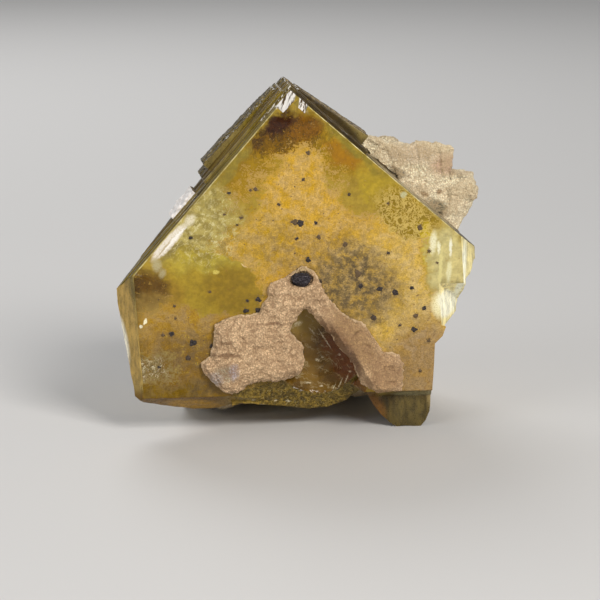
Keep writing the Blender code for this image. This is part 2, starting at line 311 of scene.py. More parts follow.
def welded(node):
    """A node's mesh in face coordinates, with its doubled corners joined."""
    shape = bmesh.new()
    shape.from_mesh(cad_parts[node].data)
    bmesh.ops.remove_doubles(shape, verts=shape.verts[:], dist=WELD)
    for vertex in shape.verts:
        vertex.co = in_face(vertex.co)
    bmesh.ops.recalc_face_normals(shape, faces=shape.faces[:])
    return shape


def flatten(shape):
    """Joins the triangles of each flat face into one face."""
    flat = math.radians(0.4)
    bmesh.ops.dissolve_limit(shape, angle_limit=flat, verts=shape.verts[:], edges=shape.edges[:])


def halve(edge):
    """Splits an edge in its middle, and the triangles beside it with it."""
    beside = []
    for face in edge.link_faces:
        beside.append((face, next(vertex for vertex in face.verts if vertex not in edge.verts)))
    _, middle = bmesh.utils.edge_split(edge, edge.verts[0], 0.5)
    for face, opposite in beside:
        bmesh.utils.face_split(face, middle, opposite)


def even_out(shape, kinds):
    """Turns the edges inside flat places, so that no triangle is needlessly thin."""
    shape.normal_update()
    inner = []
    for edge in shape.edges:
        if len(edge.link_faces) == 2:
            one, other = edge.link_faces
            if one[kinds] == other[kinds] and one[kinds] not in (LEFT_SIDE, RIGHT_SIDE):
                if one.normal.dot(other.normal) > 0.99999:
                    inner.append(edge)
    bmesh.ops.beautify_fill(shape, faces=shape.faces[:], edges=inner, method="ANGLE")


def refine(shape, longest, kinds=None):
    """Halves the longest edge of each triangle that is too large for its place, until none is."""
    faces = shape.faces[:]
    for turn in range(16):
        if kinds and turn < 9:
            even_out(shape, kinds)
            faces = shape.faces[:]
        long_edges = set()
        for face in faces:
            edge = max(face.edges, key=bmesh.types.BMEdge.calc_length)
            if edge.calc_length() > longest(face, edge):
                long_edges.add(edge)
        ends = set()
        for edge in long_edges:
            ends.update(edge.verts)
            halve(edge)
            ends.update(edge.verts)
        faces = list({face for vertex in ends for face in vertex.link_faces})


def into_piece(shape, name, material, replaced=None):
    """Turns a bmesh in face coordinates into a piece that rides on the specimen."""
    for vertex in shape.verts:
        vertex.co = placed(vertex.co)
    mesh = bpy.data.meshes.new(name)
    shape.to_mesh(mesh)
    shape.free()
    mesh.materials.append(material)
    piece = bpy.data.objects.new(name, mesh)
    bpy.context.scene.collection.objects.link(piece)
    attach(piece, "root")
    if replaced:
        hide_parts(replaced)
    return piece


FRONT, EDGE, LEFT_SIDE, RIGHT_SIDE, CHIP, BLOOM, HOLLOW, BROKEN, REAR = range(9)

# How fine the mesh of each kind of surface is, as the longest edge of a triangle.
FINENESS = {
    FRONT: 3.0,
    EDGE: 0.6,
    LEFT_SIDE: 0.38,
    RIGHT_SIDE: 0.40,
    CHIP: 0.14,
    BLOOM: 0.16,
    HOLLOW: 0.32,
    BROKEN: 0.40,
    REAR: 0.9,
}

# Growth steps of the two upper sides: from which depth on, and how far they stand out there.
LEFT_STEPS = [
    (0.9, 0.05),
    (1.8, -0.03),
    (2.7, 0.05),
    (3.5, 0.0),
    (5.2, 0.08),
    (6.4, 0.02),
    (7.4, 0.10),
    (8.8, 0.03),
    (10.1, 0.12),
    (11.6, 0.04),
]
RIGHT_STEPS = [
    (0.7, -0.04),
    (1.5, 0.04),
    (3.4, 0.08),
    (4.6, 0.0),
    (5.7, 0.07),
    (7.6, -0.02),
    (8.9, 0.09),
    (10.8, 0.02),
]
STEP_WIDTH = 0.05
STEP_TILT = 0.012


def from_hollow(point):
    """The way from the hollow's middle to a point, one long where the point lies on its wall."""
    lean = HOLLOW_LEAN * (point.y - HOLLOW_CENTRE.y)
    way = point - HOLLOW_CENTRE - lean * ACROSS
    way -= HOLLOW_NOISE * noise.noise_vector(point * HOLLOW_NOISE)
    return Vector(way[axis] / HOLLOW_SIZE[axis] for axis in range(3))


def onto_hollow(point):
    """The nearest point on the hollow's smooth wall."""
    way = from_hollow(point).normalized()
    spot = HOLLOW_CENTRE + Vector(way[axis] * HOLLOW_SIZE[axis] for axis in range(3))
    lean = HOLLOW_LEAN * (spot.y - HOLLOW_CENTRE.y)
    return spot + lean * ACROSS + HOLLOW_NOISE * noise.noise_vector(spot * HOLLOW_NOISE)


def in_a_rim(face):
    """Whether a face lies within a hair's breadth of one of the two upper edges."""
    for across in (LEFT_EDGE, RIGHT_EDGE):
        if all(abs(vertex.co.dot(across)) < 0.2 and vertex.co.z < 0.2 for vertex in face.verts):
            return True
    return False


def kind_of(face):
    """Which kind of surface a face of the crystal is, by where it looks and where it lies."""
    normal = face.normal
    centre = face.calc_center_median()
    along_left = centre.dot(LEFT_EDGE)
    if normal.dot(BACK) < -0.999 and centre.z < 0.5:
        return FRONT
    if in_a_rim(face):
        return EDGE
    on_wall = 0.9 < from_hollow(centre).length < 1.08 and centre.z > 0.02
    if on_wall and normal.dot(BACK) < 0.2 and normal.dot(LOWER_BREAK) < 0.9995:
        return HOLLOW
    if centre.dot(RIGHT_EDGE) < -0.1 and 19.6 < along_left < 24.8:
        return BLOOM
    if normal.dot(RIGHT_EDGE) < -0.95:
        return LEFT_SIDE
    if normal.dot(LEFT_EDGE) < -0.95:
        return RIGHT_SIDE
    if centre.z < 3.5 and max(vertex.co.y for vertex in face.verts) < 6.5:
        return CHIP
    if normal.dot(BACK) > 0.6:
        return REAR
    return BROKEN


def bevel_front(shape):
    """Takes a hair's breadth off the front face's two upper edges and its left one."""
    shape.normal_update()
    sharp = []
    for edge in shape.edges:
        if len(edge.link_faces) < 2 or edge.calc_length() < 2.0:
            continue
        looks = [face.normal.dot(BACK) for face in edge.link_faces]
        middle = (edge.verts[0].co + edge.verts[1].co) / 2
        if min(looks) < -0.999 and max(looks) > -0.9 and middle.y < 43.0 and middle.x < 19.0:
            sharp.append(edge)
    bmesh.ops.bevel(
        shape, geom=sharp, offset=0.13, offset_type="OFFSET", segments=2, profile=0.5, affect="EDGES"
    )


def cut_side(shape, kinds, kind, place, normal):
    """Cuts one side of the crystal along a plane."""
    faces = [face for face in shape.faces if face[kinds] == kind]
    edges = {edge for face in faces for edge in face.edges}
    vertices = {vertex for face in faces for vertex in face.verts}
    geometry = [*vertices, *edges, *faces]
    bmesh.ops.bisect_plane(shape, geom=geometry, dist=0.003, plane_co=place, plane_no=normal)


def cut_steps(shape, kinds, kind, along, steps):
    """Cuts a side along its growth steps, for straight crisp edges, and across them."""
    normal = (BACK + STEP_TILT * along).normalized()
    for depth, _ in steps:
        for offset in (-STEP_WIDTH, STEP_WIDTH):
            cut_side(shape, kinds, kind, normal * (depth + offset) * normal.dot(BACK), normal)
    for turn in range(1, 50):
        cut_side(shape, kinds, kind, along * (0.7 * turn), along)


def step_height(point, along, steps):
    depth = point.z + STEP_TILT * point.dot(along)
    height = 0.0
    for start, rise in steps:
        share = min(1.0, max(0.0, (depth - start + STEP_WIDTH) / (2.0 * STEP_WIDTH)))
        height += share * (rise - height)
    return height


def side_rise(point, along, steps):
    """Growth steps, a slight swell, and a splintery stretch far behind the front face."""
    swell = 0.03 * noise.noise(point * 0.8)
    far = min(1.0, max(0.0, (point.z - 7.5) / 1.5))
    return step_height(point, along, steps) + swell + far * (hackly(point, 1.6) - 0.06)


def hackly(point, size):
    """A splintery break: ridges with flat sides, over broader lumps."""
    spot = point / size
    ridges = noise.ridged_multi_fractal(spot, 0.9, 2.1, 4, 1.0, 2.0)
    return 0.09 * ridges + 0.12 * noise.noise(spot * 0.5)


def shell_ripples(point):
    """Rings of a shell-shaped break, around the place where it started."""
    start = Vector((2.6, 31.5, 0.0))
    ring = (point - start).length
    wave = math.sin(ring * 3.1 + 1.6 * noise.noise(point * 0.35))
    return 0.08 * wave + 0.10 * noise.noise(point * 0.9)


def chip_ridges(point):
    """Fine ridges that run down a chip and a little to the left."""
    side = 0.93 * point.x + 0.36 * point.y
    return 0.07 * noise.noise(Vector((side * 2.4, point.y * 0.3, 2.0))) + 0.03 * noise.noise(point * 5.0)


def break_rise(point):
    """Splinters of the broken edges, upright ones at the right edge, and sugary ones on the lower lip."""
    if point.x > 20.0 and point.y < 38.0:
        return hackly(Vector((point.x * 1.8, point.y * 0.45, point.z)), 1.5) - 0.12
    if -9.0 < point.x < 10.5 and point.y > 40.0:
        return 0.2 * grit(point, 0.75) + 0.08 * noise.noise(point * 0.7) - 0.12
    if point.x > 10.0 and point.y > 43.0:
        return 0.16 * noise.noise(point * 0.45) + 0.03 * noise.noise(point * 2.5) - 0.04
    return 0.6 * hackly(point, 2.4) - 0.07


RISE = {
    FRONT: lambda point: 0.0,
    EDGE: lambda point: 0.02 * noise.noise(point * 1.4),
    LEFT_SIDE: lambda point: side_rise(point, LEFT_EDGE, LEFT_STEPS),
    RIGHT_SIDE: lambda point: side_rise(point, RIGHT_EDGE, RIGHT_STEPS),
    CHIP: chip_ridges,
    BLOOM: lambda point: 0.30 * noise.noise(point * 1.1) + 0.34 * grit(point, 0.7) - 0.05,
    HOLLOW: shell_ripples,
    BROKEN: break_rise,
    REAR: lambda point: hackly(point, 4.5) - 0.14,
}


def raise_surface(shape, kinds):
    """Moves each point out by the smallest rise of the kinds of surface that meet there."""
    for vertex in shape.verts:
        if all(face[kinds] == HOLLOW for face in vertex.link_faces):
            vertex.co = onto_hollow(vertex.co)
    shape.normal_update()
    moves = []
    for vertex in shape.verts:
        here = {face[kinds] for face in vertex.link_faces}
        rises = [RISE[kind](vertex.co) for kind in here]
        moves.append(vertex.normal * min(rises, key=abs))
    for vertex, move in zip(shape.verts, moves):
        vertex.co += move
        vertex.co.y = min(vertex.co.y, CORNER.z)


def mark(piece, kinds_seen, **groups):
    """Writes a face attribute for each named group of kinds, one inside the group and zero outside."""
    for name, members in groups.items():
        attribute = piece.data.attributes.new(name, "FLOAT", "FACE")
        attribute.data.foreach_set("value", [float(kind in members) for kind in kinds_seen])


def make_crystal():
    shape = welded("fluorite_crystal")
    flatten(shape)
    bevel_front(shape)
    kinds = shape.faces.layers.int.new("kind")
    shape.normal_update()
    for face in shape.faces:
        face[kinds] = kind_of(face)
    cut_steps(shape, kinds, LEFT_SIDE, LEFT_EDGE, LEFT_STEPS)
    cut_steps(shape, kinds, RIGHT_SIDE, RIGHT_EDGE, RIGHT_STEPS)
    bmesh.ops.triangulate(shape, faces=shape.faces[:], ngon_method="BEAUTY")
    refine(shape, lambda face, edge: FINENESS[face[kinds]], kinds)
    raise_surface(shape, kinds)
    seen = [face[kinds] for face in shape.faces]
    piece = into_piece(shape, "crystal", crystal_glass(), "fluorite_crystal")
    mark(
        piece,
        seen,
        edge=(EDGE,),
        side=(LEFT_SIDE, RIGHT_SIDE),
        right_side=(RIGHT_SIDE,),
        chip=(CHIP,),
        bloom=(BLOOM,),
        hollow=(HOLLOW,),
        broken=(BROKEN,),
        rear=(REAR,),
    )
    piece.data.shade_smooth()
    piece.data.set_sharp_from_angle(angle=math.radians(26.0))
    return piece


# The clear glass behind the front face, from the lowest layer up: where, how large, how far turned,
# how soft its edge is, and its colour.
GLASS_ZONES = [
    ((-5.6, 10.3), (5.6, 3.0), -49, 0.45, (0.46, 0.27, 0.006)),
    ((-8.2, 10.6), (7.0, 0.7), -49, 0.60, (0.42, 0.31, 0.04)),
    ((6.0, 9.0), (5.2, 2.4), 41, 0.45, (0.42, 0.25, 0.004)),
    ((9.6, 9.4), (5.4, 0.9), 41, 0.60, (0.42, 0.31, 0.03)),
    ((7.8, 9.9), (3.0, 1.0), 38, 0.60, (0.54, 0.25, 0.003)),
    ((-1.2, 7.2), (4.4, 2.0), 0, 0.45, (0.25, 0.125, 0.002)),
    ((1.6, 5.0), (2.4, 1.9), 0, 0.50, (0.25, 0.105, 0.002)),
    ((-1.9, 4.5), (2.8, 1.6), -20, 0.40, (0.055, 0.014, 0.001)),
    ((-4.6, 7.4), (1.0, 0.8), 0, 0.50, (0.13, 0.06, 0.004)),
    ((12.2, 14.0), (3.6, 1.8), 41, 0.50, (0.66, 0.46, 0.030)),
    ((16.2, 17.8), (4.4, 2.9), 45, 0.35, (0.42, 0.27, 0.015)),
    ((19.3, 22.4), (1.0, 3.0), -8, 0.45, (0.80, 0.58, 0.020)),
    ((18.4, 22.0), (0.35, 2.2), -10, 0.60, (0.30, 0.19, 0.010)),
    # Painted light: the pale zone at the right edge stands in for light shining through the crystal from behind.
    ((22.6, 25.0), (3.0, 5.6), 0, 0.30, (0.88, 0.76, 0.32)),
    ((-12.6, 18.9), (5.0, 4.6), -40, 0.40, (0.64, 0.52, 0.145)),
    ((-16.4, 23.4), (2.0, 1.8), -30, 0.40, (0.28, 0.22, 0.080)),
    ((-11.2, 27.0), (7.4, 4.8), 10, 0.16, (0.56, 0.385, 0.030)),
    ((-12.4, 23.6), (4.4, 1.5), 0, 0.70, (0.64, 0.50, 0.055)),
    ((-8.0, 28.2), (3.6, 3.0), 0, 0.70, (0.42, 0.27, 0.018)),
    ((-17.6, 28.6), (2.6, 2.2), 0, 0.60, (0.42, 0.26, 0.022)),
    ((-20.4, 27.8), (2.6, 2.6), 0, 0.45, (0.15, 0.070, 0.004)),
    ((-19.3, 33.0), (3.0, 4.0), 0, 0.45, (0.42, 0.27, 0.060)),
    ((-13.0, 42.4), (10.0, 2.4), 0, 0.50, (0.27, 0.17, 0.030)),
    ((18.6, 42.0), (3.4, 2.4), 0, 0.50, (0.36, 0.26, 0.090)),
    ((-19.4, 38.6), (3.4, 2.0), 0, 0.60, (0.34, 0.25, 0.09)),
]

# How thick the tan dust lies in the front face.
DUST_ZONES = [
    ((1.2, 16.8), (5.6, 8.6), 0, 0.30, 1.0),
    ((-6.5, 13.8), (3.6, 1.8), -40, 0.50, 0.5),
    ((2.0, 23.6), (12.6, 7.0), 0, 0.30, 0.97),
    ((14.4, 29.6), (8.0, 11.6), 0, 0.25, 0.95),
    ((18.4, 38.0), (5.0, 8.0), 0, 0.20, 0.95),
    ((-14.2, 36.6), (9.4, 8.2), 0, 0.40, 0.80),
    ((6.2, 12.4), (1.3, 1.8), 20, 0.60, 0.45),
    ((-2.6, 10.4), (1.2, 1.6), 0, 0.60, 0.45),
    ((-11.2, 27.0), (7.2, 4.4), 10, 0.14, 0.10),
    ((-20.4, 27.6), (2.4, 2.6), 0, 0.45, 0.20),
    ((-19.4, 38.6), (3.2, 1.9), 0, 0.60, 0.45),
    ((16.4, 17.8), (4.0, 2.6), 45, 0.30, 0.12),
    ((22.8, 25.0), (3.6, 6.2), 0, 0.30, 0.14),
]
DUST_TINTS = [
    ((2.0, 14.0), (6.0, 6.0), 0, 0.60, (0.58, 0.35, 0.056)),
    ((-6.0, 20.5), (5.0, 4.0), 0, 0.60, (0.52, 0.32, 0.046)),
    ((15.0, 29.0), (7.0, 8.0), 0, 0.60, (0.61, 0.41, 0.100)),
    ((18.6, 40.0), (4.0, 6.4), 0, 0.60, (0.36, 0.225, 0.080)),
    ((9.0, 28.0), (5.5, 4.5), 25, 0.60, (0.45, 0.29, 0.075)),
    ((-14.2, 35.0), (8.0, 6.0), 0, 0.60, (0.38, 0.225, 0.042)),
    ((-15.0, 39.6), (7.6, 4.6), 0, 0.60, (0.24, 0.135, 0.024)),
    ((-18.0, 42.4), (5.0, 1.6), 0, 0.60, (0.20, 0.115, 0.010)),
]

# Where the dust has grey-brown dots in it, and how thickly.
DOT_ZONES = [
    ((8.2, 27.2), (6.4, 4.8), 25, 0.60, 0.90),
    ((3.2, 24.0), (2.6, 1.6), 0, 0.60, 0.84),
    ((0.0, 22.4), (4.6, 2.8), 0, 0.60, 0.36),
    ((5.8, 28.6), (1.3, 1.5), 0, 0.60, 0.95),
    ((9.6, 25.8), (1.5, 1.5), 0, 0.60, 1.0),
    ((9.9, 27.8), (1.1, 1.0), 0, 0.60, 1.0),
    ((13.2, 28.3), (1.3, 1.2), 0, 0.60, 0.9),
    ((11.8, 32.6), (1.3, 1.2), 0, 0.60, 0.7),
    ((-14.0, 36.5), (3.4, 2.6), 0, 0.60, 0.34),
    ((-12.0, 42.0), (2.6, 1.2), 0, 0.50, 0.55),
]

# Small bright or white places in the front face, with crisp edges: mostly painted glints and painted flashes of
# light off cracks inside the crystal and along its right rim, and one pale scratch of its own.
GLINT_FLASH_AND_SCRATCH_ZONES = [
    ((-17.2, 21.0), (3.3, 0.75), -47, 0.22, (0.84, 0.77, 0.66)),
    ((-16.7, 20.8), (2.4, 0.20), -45, 0.50, (0.97, 0.93, 0.86)),
    ((-17.9, 21.9), (1.6, 0.10), -50, 0.50, (0.50, 0.40, 0.24)),
    ((-18.9, 24.2), (0.50, 0.7), -8, 0.90, (0.44, 0.38, 0.21)),
    ((-18.1, 25.4), (0.35, 0.5), 20, 0.90, (0.40, 0.34, 0.18)),
    ((-14.2, 17.9), (0.7, 0.5), -49, 0.80, (0.76, 0.69, 0.50)),
    ((21.5, 30.9), (1.25, 1.7), -8, 0.50, (0.90, 0.83, 0.50)),
    ((21.6, 30.2), (0.65, 0.9), 0, 0.60, (0.97, 0.93, 0.68)),
    ((20.2, 21.9), (0.42, 1.3), 4, 0.70, (0.84, 0.80, 0.54)),
    ((21.0, 22.6), (0.20, 0.8), 0, 0.60, (0.88, 0.85, 0.60)),
    ((22.7, 22.6), (0.18, 1.1), 0, 0.60, (0.86, 0.86, 0.70)),
    ((22.5, 26.2), (0.35, 1.4), 4, 0.50, (0.76, 0.72, 0.42)),
    ((21.3, 25.4), (0.20, 2.2), 3, 0.60, (0.70, 0.62, 0.26)),
    ((15.9, 14.9), (0.45, 0.40), 0, 0.40, (0.52, 0.50, 0.28)),
    ((-20.6, 32.2), (0.20, 0.45), 20, 0.30, (0.95, 0.88, 0.60)),
    ((-21.2, 32.9), (0.22, 0.22), 0, 0.30, (0.95, 0.90, 0.66)),
    ((-6.7, 24.5), (0.45, 0.07), 35, 0.40, (0.72, 0.52, 0.26)),
    ((-10.6, 25.4), (0.40, 0.28), 0, 0.40, (0.66, 0.54, 0.12)),
]

# The broken surfaces round the crystal's edge. The white and pale streaks on the right rim are painted light
# shining through from behind, and the white line on the left facet is a painted highlight.
BREAK_ZONES = [
    ((-23.0, 33.0), (1.3, 9.0), -8, 0.30, (0.50, 0.33, 0.090)),
    ((-23.6, 35.2), (0.55, 3.0), -10, 0.50, (0.97, 0.92, 0.74)),
    ((-15.0, 44.4), (9.0, 2.2), 3, 0.30, (0.16, 0.080, 0.003)),
    ((-13.6, 44.9), (3.6, 0.9), 6, 0.50, (0.36, 0.19, 0.003)),
    ((1.0, 44.0), (9.5, 3.6), 0, 0.30, (0.25, 0.165, 0.026)),
    ((17.0, 47.4), (5.8, 4.2), 0, 0.12, (0.085, 0.055, 0.011)),
    ((17.4, 46.6), (2.2, 2.2), 0, 0.80, (0.135, 0.098, 0.028)),
    ((18.0, 49.6), (3.4, 0.5), 0, 0.50, (0.34, 0.28, 0.10)),
    ((12.0, 45.6), (1.2, 2.4), -30, 0.50, (0.17, 0.075, 0.012)),
    ((23.0, 28.0), (4.0, 9.0), 0, 0.30, (0.90, 0.78, 0.37)),
    ((21.0, 40.0), (1.6, 6.0), 0, 0.30, (0.46, 0.34, 0.14)),
    ((22.4, 31.0), (1.8, 1.9), 0, 0.20, (0.98, 0.95, 0.72)),
    ((24.4, 27.0), (0.5, 4.6), 6, 0.50, (0.98, 0.97, 0.74)),
    ((18.0, 43.9), (3.0, 0.4), 0, 0.50, (0.34, 0.30, 0.16)),
    ((0.9, 3.2), (2.6, 3.6), 0, 0.30, (0.36, 0.27, 0.06)),
    ((5.6, 4.6), (7.4, 1.4), 41, 0.30, (0.060, 0.036, 0.004)),
    ((-3.4, 3.6), (3.6, 1.2), -49, 0.30, (0.26, 0.18, 0.015)),
]


class Layers:
    """The crystal's colour and clearness, laid on layer by layer."""

    def __init__(self, nodes, place):
        self.nodes = nodes
        self.place = place
        broad = nodes.noise(place, 0.30, 3.0)["Color"]
        mid = nodes.noise(place, 1.5, 3.0, 0.6)["Color"]
        self.warped = nodes.moved(nodes.moved(place, broad, 2.2), mid, 0.8)
        self.sand = nodes.field(place, 5.2, 2.0, 0.7)
        self.grit = nodes.field(place, 2.3, 2.0, 0.6)
        self.mottle = nodes.field(place, 0.8, 3.0, 0.6)
        self.colour = nodes.coloured((0.56, 0.38, 0.040), self.warped, GLASS_ZONES)
        self.clear = nodes.between(self.mottle, 0.52, 0.42)

    def cover(self, share, colour, clear):
        self.colour = self.nodes.blend(share, self.colour, colour)
        self.clear = self.nodes.between(share, self.clear, clear)

    def shade(self, by):
        self.colour = self.nodes.shaded(self.colour, by)

    def sprinkled(self, amount, fine, coarse):
        """One where a sprinkling lies. It is made of grains, so its edge is ragged and not faded."""
        nodes = self.nodes
        level = nodes.between(coarse, fine, self.mottle)
        return nodes.ramp(nodes.math("SUBTRACT", amount, level), -0.14, 0.14)


def add_fibres(layers):
    """Upright fibres in the clear glass near the top corner, and a faint mottle and grit over all the glass."""
    nodes = layers.nodes
    fibres = nodes.field(nodes.scaled(layers.warped, (1.0, 0.22, 1.0)), 3.4, 3.0, 0.7)
    top = nodes.zone(layers.warped, (-0.5, 7.0), (6.0, 3.2), 0, 0.4)
    layers.shade(nodes.between(top, 1.0, nodes.between(fibres, 0.55, 1.55)))
    layers.shade(nodes.between(layers.mottle, 0.94, 1.07))
    layers.shade(nodes.between(layers.grit, 0.92, 1.09))


def add_dust(layers):
    """The tan dust in the front face, with its grains, its brown dots and its grey dots."""
    nodes = layers.nodes
    amount = nodes.valued(0.16, layers.warped, DUST_ZONES)
    grains = nodes.math("MULTIPLY", nodes.math("ADD", layers.sand, layers.grit), 0.5)
    tint = nodes.coloured((0.53, 0.32, 0.052), layers.warped, DUST_TINTS)
    tint = nodes.paler(tint, nodes.between(nodes.field(layers.warped, 0.55, 4.0, 0.65), 1.08, 0.88))
    tint = nodes.shaded(tint, nodes.between(layers.sand, 0.80, 1.16))
    tint = nodes.shaded(tint, nodes.between(layers.grit, 0.88, 1.12))
    tint = nodes.shaded(tint, nodes.between(layers.mottle, 0.88, 1.10))
    layers.cover(layers.sprinkled(amount, grains, 0.35), tint, 0.12)
    spots = nodes.cells(nodes.moved(layers.place, nodes.noise(layers.place, 3.0)["Color"], 0.3), 1.25)
    some = nodes.ramp(nodes.add("SeparateColor", {0: spots["Color"]}).outputs[0], 0.45, 0.55)
    size = nodes.math("MULTIPLY", some, nodes.ramp(spots["Distance"], 0.20, 0.10))
    layers.cover(nodes.math("MULTIPLY", size, 0.55), (0.22, 0.10, 0.02), 0.15)
    dots = nodes.valued(0.0, layers.warped, DOT_ZONES)
    cloud = nodes.field(layers.place, 1.1, 5.0, 0.75, 0.36, 0.62)
    layers.cover(nodes.math("MULTIPLY", nodes.math("MULTIPLY", dots, cloud), 0.95), (0.095, 0.068, 0.034), 0.12)
    fine = nodes.cells(nodes.moved(layers.place, nodes.noise(layers.place, 4.0)["Color"], 0.2), 2.9)
    chosen = nodes.ramp(nodes.add("SeparateColor", {0: fine["Color"]}).outputs[1], 0.25, 0.65)
    grain = nodes.math("MULTIPLY", nodes.ramp(fine["Distance"], 0.42, 0.14), chosen)
    layers.cover(nodes.math("MULTIPLY", nodes.math("MULTIPLY", dots, grain), 0.85), (0.11, 0.080, 0.045), 0.12)


def add_flecks(layers):
    """Pale flecks in the upper left, which are painted flashes of light off cleavage cracks inside the crystal, and
    worm-like pale grains in the olive patch at the right.
    """
    nodes = layers.nodes
    # Painted flashes of light off cleavage cracks, streaked along their slant.
    flat = nodes.field(nodes.turned(layers.warped, -48, (0.8, 1.5, 1.0)), 1.7, 4.0, 0.7)
    left = nodes.zone(layers.warped, (-12.8, 18.8), (4.8, 5.0), -40, 0.5)
    share = nodes.math("MULTIPLY", left, nodes.ramp(flat, 0.50, 0.95, 0.0, 0.8))
    layers.cover(share, (0.78, 0.70, 0.36), 0.2)
    veil = nodes.math("MULTIPLY", left, nodes.ramp(layers.mottle, 0.7, 0.1, 0.0, 0.45))
    layers.cover(veil, (0.34, 0.26, 0.05), 0.5)
    worms = nodes.cells(layers.warped, 1.7, "DISTANCE_TO_EDGE")["Distance"]
    patch = nodes.zone(layers.warped, (16.4, 17.8), (4.6, 3.0), 45, 0.3)
    share = nodes.math("MULTIPLY", patch, nodes.ramp(worms, 0.17, 0.03, 0.0, 0.75))
    layers.cover(share, (0.76, 0.56, 0.16), 0.2)
    crumbs = nodes.field(layers.warped, 2.2, 4.0, 0.8)
    corner = nodes.zone(layers.warped, (-20.4, 38.8), (2.8, 1.5), 0, 0.4)
    layers.cover(nodes.math("MULTIPLY", corner, nodes.ramp(crumbs, 0.45, 0.15, 0.0, 0.8)), (0.10, 0.075, 0.04), 0.3)
    layers.cover(nodes.math("MULTIPLY", corner, nodes.ramp(crumbs, 0.62, 0.90, 0.0, 0.8)), (0.70, 0.64, 0.46), 0.2)


def add_sides(layers):
    """The two upper sides: dark glass with lines along the edge, rough and pale far behind it; the right side is
    painted darker, as painted shade.
    """
    nodes = layers.nodes
    side = nodes.attribute("side")
    right = nodes.attribute("right_side")
    depth = nodes.add("SeparateXYZ", {0: layers.place}).outputs["Z"]
    lines = nodes.field(nodes.scaled(layers.place, (0.12, 0.12, 2.6)), 1.0, 3.0, 0.7)
    dark = nodes.blend(lines, (0.065, 0.040, 0.001), (0.44, 0.31, 0.020))
    rough = nodes.blend(layers.grit, (0.035, 0.024, 0.006), (0.30, 0.22, 0.07))
    brown = nodes.blend(lines, (0.06, 0.032, 0.002), (0.34, 0.22, 0.025))
    colour = nodes.blend(nodes.ramp(depth, 4.2, 4.6), dark, brown)
    # Painted shade: the right side's glass is painted darker than the left side's.
    colour = nodes.blend(right, colour, nodes.blend(lines, (0.030, 0.016, 0.001), (0.17, 0.10, 0.008)))
    rough = nodes.blend(right, rough, nodes.blend(layers.grit, (0.09, 0.062, 0.026), (0.46, 0.36, 0.20)))
    start = nodes.between(right, 7.6, 5.0)
    behind = nodes.ramp(nodes.math("SUBTRACT", depth, start), 0.0, 1.2)
    colour = nodes.blend(behind, colour, rough)
    low_right = nodes.math("MULTIPLY", right, nodes.zone(layers.place, (18.0, 16.0), (7.0, 7.0), 0, 0.3))
    pale = nodes.blend(lines, (0.20, 0.15, 0.07), (0.62, 0.52, 0.32))
    colour = nodes.blend(low_right, colour, pale)
    dashes = nodes.ramp(nodes.math("ABSOLUTE", nodes.math("SUBTRACT", depth, 4.35)), 0.22, 0.10)
    broken_up = nodes.math("MULTIPLY", dashes, nodes.ramp(layers.mottle, 0.2, 0.6))
    colour = nodes.blend(nodes.math("MULTIPLY", broken_up, 0.8), colour, (0.66, 0.56, 0.28))
    layers.cover(side, colour, nodes.between(lines, 0.45, 0.20))
    # Painted highlight: the bevelled upper front edges are painted pale, as light caught on them.
    rim = nodes.blend(layers.mottle, (0.42, 0.31, 0.05), (0.88, 0.76, 0.38))
    layers.cover(nodes.attribute("edge"), rim, 0.3)


